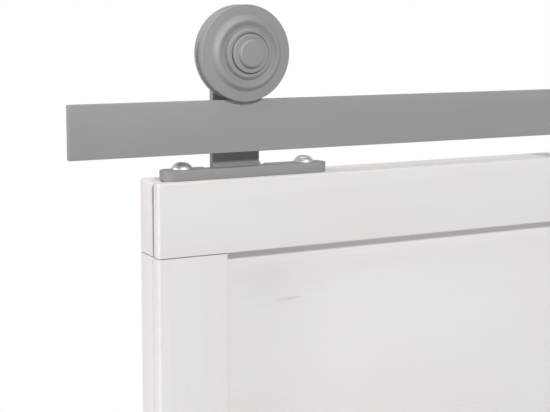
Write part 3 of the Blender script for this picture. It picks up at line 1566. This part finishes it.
@dataclass
class Roller(Assembly):
    """One grooved wheel with its hub cap. Depths run from the wheel's middle towards the wall."""

    hand: Hand = Hand.LEFT
    tread_r: float = 35.0 * MM
    half_width: float = 7.5 * MM
    groove_half: float = 3.4 * MM
    lip_r: float = 11.5 * MM
    bearing_r: float = 13.0 * MM
    bearing_half: float = 4.0 * MM
    ring_r: float = 29.4 * MM
    crest: Pair = (25.0 * MM, 12.5 * MM)
    valley: Pair = (20.4 * MM, 10.7 * MM)
    collar: Pair = (17.6 * MM, 14.0 * MM)
    seat_r: float = 15.4 * MM
    seat_depth: float = 12.9 * MM
    cap_r: float = 14.6 * MM
    pocket_depth: float = 8.0 * MM
    cap_depth: float = 16.0 * MM
    boss_r: float = 10.2 * MM
    boss_depth: float = 19.0 * MM
    ease: float = 0.5 * MM
    groove_slope: float = 0.6 * MM
    valley_lead: float = 0.2 * MM
    corner_steps: int = 4
    wheel_steps: int = 192
    cap_play: float = 0.05 * MM
    cap_ease: float = 0.8 * MM
    boss_fillet: float = 0.4 * MM
    boss_ease: float = 1.2 * MM
    hollow_chamfer: float = 2.0 * MM
    hollow_depth: float = 7.0 * MM
    cap_corner_steps: int = 5
    cap_steps: int = 128

    @property
    def body(self) -> Body:
        """The body that this roller is."""
        return Body("wheel_" + self.hand.value)

    @property
    def centre(self) -> Vector:
        """The middle of the wheel on its axle."""
        return Span.of("bearing_outer_" + self.hand.value).middle

    def turned(self, name: str, profile: Profile, node: str, steps: int) -> None:
        """Turns one piece of the roller and hands it over."""
        name, node = f"{name}_{self.hand.value}", f"{node}_{self.hand.value}"
        mesh = self.shop.lathe.turn(name, profile, self.coat(Slot.STEEL), steps, TO_WALL, self.centre)
        self.hand_over(mesh, name, self.body, Slot.STEEL, [node])

    def wheel(self) -> None:
        """Turns the wheel: tread, flanges, the raised ring on its face and the seat of the cap."""
        flange_r = Span.of("wheel_" + self.hand.value).size.z / 2
        half, e, g, slope = self.half_width, self.ease, self.groove_half, self.groove_slope
        crest_r, crest_t = self.crest
        valley_r, valley_t = self.valley
        collar_r, collar_t = self.collar
        steps = self.corner_steps
        profile = [
            (self.lip_r, -half), *arc((flange_r - e, e - half), e, -90, 0, steps), (flange_r, -g - slope),
            (self.tread_r, -g), (self.tread_r, g), (flange_r, g + slope),
            *arc((flange_r - e, half - e), e, 0, 90, steps), *swell((self.ring_r, half), (crest_r, crest_t)),
            *swell((crest_r - e, crest_t), (valley_r, valley_t)),
            *swell((valley_r - self.valley_lead, valley_t), (collar_r, collar_t)),
            *arc((self.seat_r + e, collar_t - e), e, 90, 180, steps), (self.seat_r, self.seat_depth),
            (self.cap_r, self.seat_depth), (self.cap_r, self.pocket_depth),
            (self.bearing_r, self.pocket_depth), (self.bearing_r, -self.bearing_half),
            (self.lip_r, -self.bearing_half), (self.lip_r, -half)]
        self.turned("grooved_wheel", profile, "wheel", self.wheel_steps)

    def cap(self) -> None:
        """Turns the hub cap with its boss, hollow behind for the axle's head."""
        r, e, hollow = self.cap_r - self.cap_play, self.cap_ease, self.lip_r
        inner, floor = hollow - self.hollow_chamfer, self.half_width + self.hollow_depth
        fillet, b = self.boss_fillet, self.boss_ease
        profile = [
            (hollow, self.pocket_depth), (r, self.pocket_depth),
            *arc((r - e, self.cap_depth - e), e, 0, 90, self.cap_corner_steps),
            (self.boss_r + fillet, self.cap_depth), (self.boss_r, self.cap_depth + fillet),
            *arc((self.boss_r - b, self.boss_depth - b), b, 0, 90, self.cap_corner_steps),
            (0.0, self.boss_depth), (0.0, floor), (inner, floor), (hollow, floor - self.hollow_chamfer),
            (hollow, self.pocket_depth)]
        self.turned("hub_cap_turned", profile, "hub_cap", self.cap_steps)

    def build(self) -> list[str]:
        """Makes every piece of the roller and returns their names."""
        self.wheel()
        self.cap()
        self.dress(Slot.RACE, "bearing_outer_" + self.hand.value)
        return self.made


# ---------------------------------------------------------------------------
# Studio
# ---------------------------------------------------------------------------


@dataclass(frozen=True)
class Lamp:
    """One distant lamp."""

    name: str
    from_where: Triple
    strength: float
    width_deg: float
    mirrored: bool = True

    def hang(self) -> None:
        """Adds the lamp to the scene. Its strength is what it adds to a white face turned towards it."""
        light = bpy.data.lights.new(self.name, "SUN")
        light.energy, light.angle = math.pi * self.strength, math.radians(self.width_deg)
        lamp = bpy.data.objects.new(self.name, light)
        lamp.visible_glossy = self.mirrored
        bpy.context.scene.collection.objects.link(lamp)
        lamp.matrix_world = Vector(self.from_where).to_track_quat("Z", "Y").to_matrix().to_4x4()


@dataclass(frozen=True)
class Studio:
    """Camera, soft light, white surroundings and a pale floor."""

    lens: float = 77.09
    sensor: float = 36.0
    clip: Pair = (0.01, 100.0)
    eye: Triple = (-1.1679, -0.7670, 0.0814)
    turn_deg: float = 27.414
    tilt_deg: float = -6.691
    roll_deg: float = 0.130
    shift: float = -0.09
    sky: float = 0.10
    mirrored_sky: float = 0.62
    lamps: tuple[Lamp, ...] = (
        Lamp("key", (0.04, -1.0, 0.64), 0.62, 7.0),
        Lamp("left", (-0.96, 0.06, 0.28), 0.75, 34.0),
        Lamp("front", (-0.35, -0.93, -0.12), 0.12, 60.0),
        Lamp("top", (-0.1, -0.10, 1.0), 0.28, 45.0),
        Lamp("room", (0.45, 1.0, 0.05), 0.45, 50.0, mirrored=False),
    )
    floor_half: float = 3.2
    floor_gap: float = 0.2 * MM
    floor_colour: Triple = (0.86, 0.86, 0.85)
    floor_roughness: float = 0.9

    def camera(self) -> None:
        """Sets up the camera."""
        data = bpy.data.cameras.new("camera")
        data.lens, data.sensor_width, data.shift_y = self.lens, self.sensor, self.shift
        data.clip_start, data.clip_end = self.clip
        camera = bpy.data.objects.new("camera", data)
        bpy.context.scene.collection.objects.link(camera)
        turn = Matrix.Rotation(-math.radians(self.turn_deg), 4, "Z")
        tilt = Matrix.Rotation(math.radians(90 + self.tilt_deg), 4, "X")
        roll = Matrix.Rotation(math.radians(self.roll_deg), 4, "Z")
        camera.matrix_world = Matrix.Translation(self.eye) @ turn @ tilt @ roll
        bpy.context.scene.camera = camera

    def light(self) -> None:
        """Sets up the white surroundings and hangs the lamps."""
        world = bpy.data.worlds.new("surroundings")
        bpy.context.scene.world = world
        world.use_nodes = True
        world.node_tree.nodes.clear()
        canvas = Canvas(world.node_tree)
        rays = canvas.add("ShaderNodeLightPath").outputs
        strength = canvas.math("MULTIPLY_ADD", rays["Is Glossy Ray"], self.mirrored_sky - self.sky, self.sky)
        strength = canvas.math("MAXIMUM", strength, rays["Is Camera Ray"])
        glow = canvas.add("ShaderNodeBackground", {"Color": (1.0, 1.0, 1.0, 1.0), "Strength": strength})
        canvas.add("ShaderNodeOutputWorld", {"Surface": glow.outputs[0]})
        for lamp in self.lamps:
            lamp.hang()

    def floor(self) -> None:
        """Lays the pale floor just under the object."""
        low = CAD_BOX[0].z - self.floor_gap
        half = self.floor_half
        mesh = bpy.data.meshes.new("floor")
        corners = [(-half, -half, low), (half, -half, low), (half, half, low), (-half, half, low)]
        mesh.from_pydata(corners, [], [(0, 1, 2, 3)])
        material, _, shader = new_material("pale_floor")
        shader.inputs["Base Color"].default_value = (*self.floor_colour, 1.0)
        shader.inputs["Roughness"].default_value = self.floor_roughness
        mesh.materials.append(material)
        ground = bpy.data.objects.new("floor", mesh)
        bpy.context.scene.collection.objects.link(ground)

    def build(self) -> None:
        """Sets up the whole studio."""
        self.camera()
        self.light()
        self.floor()
        bpy.context.scene.view_settings.view_transform = "Standard"


def main() -> None:
    """Builds the object, piece by piece, and the studio round it."""
    logging.basicConfig(level=logging.INFO, format="%(name)s: %(message)s")
    shop = Workshop(Paintbox(), Lathe(), Copies(), BoardStack(), Thread())
    assemblies: list[Assembly] = [RailSet(shop), DoorLeaf(shop)]
    assemblies += [Hanger(shop, hand=hand) for hand in Hand]
    assemblies += [Roller(shop, hand=hand) for hand in Hand]
    for assembly in assemblies:
        for name in assembly.build():
            LOG.info("%s made %s", type(assembly).__name__, name)
    Studio().build()


if __name__ == "__main__":
    main()
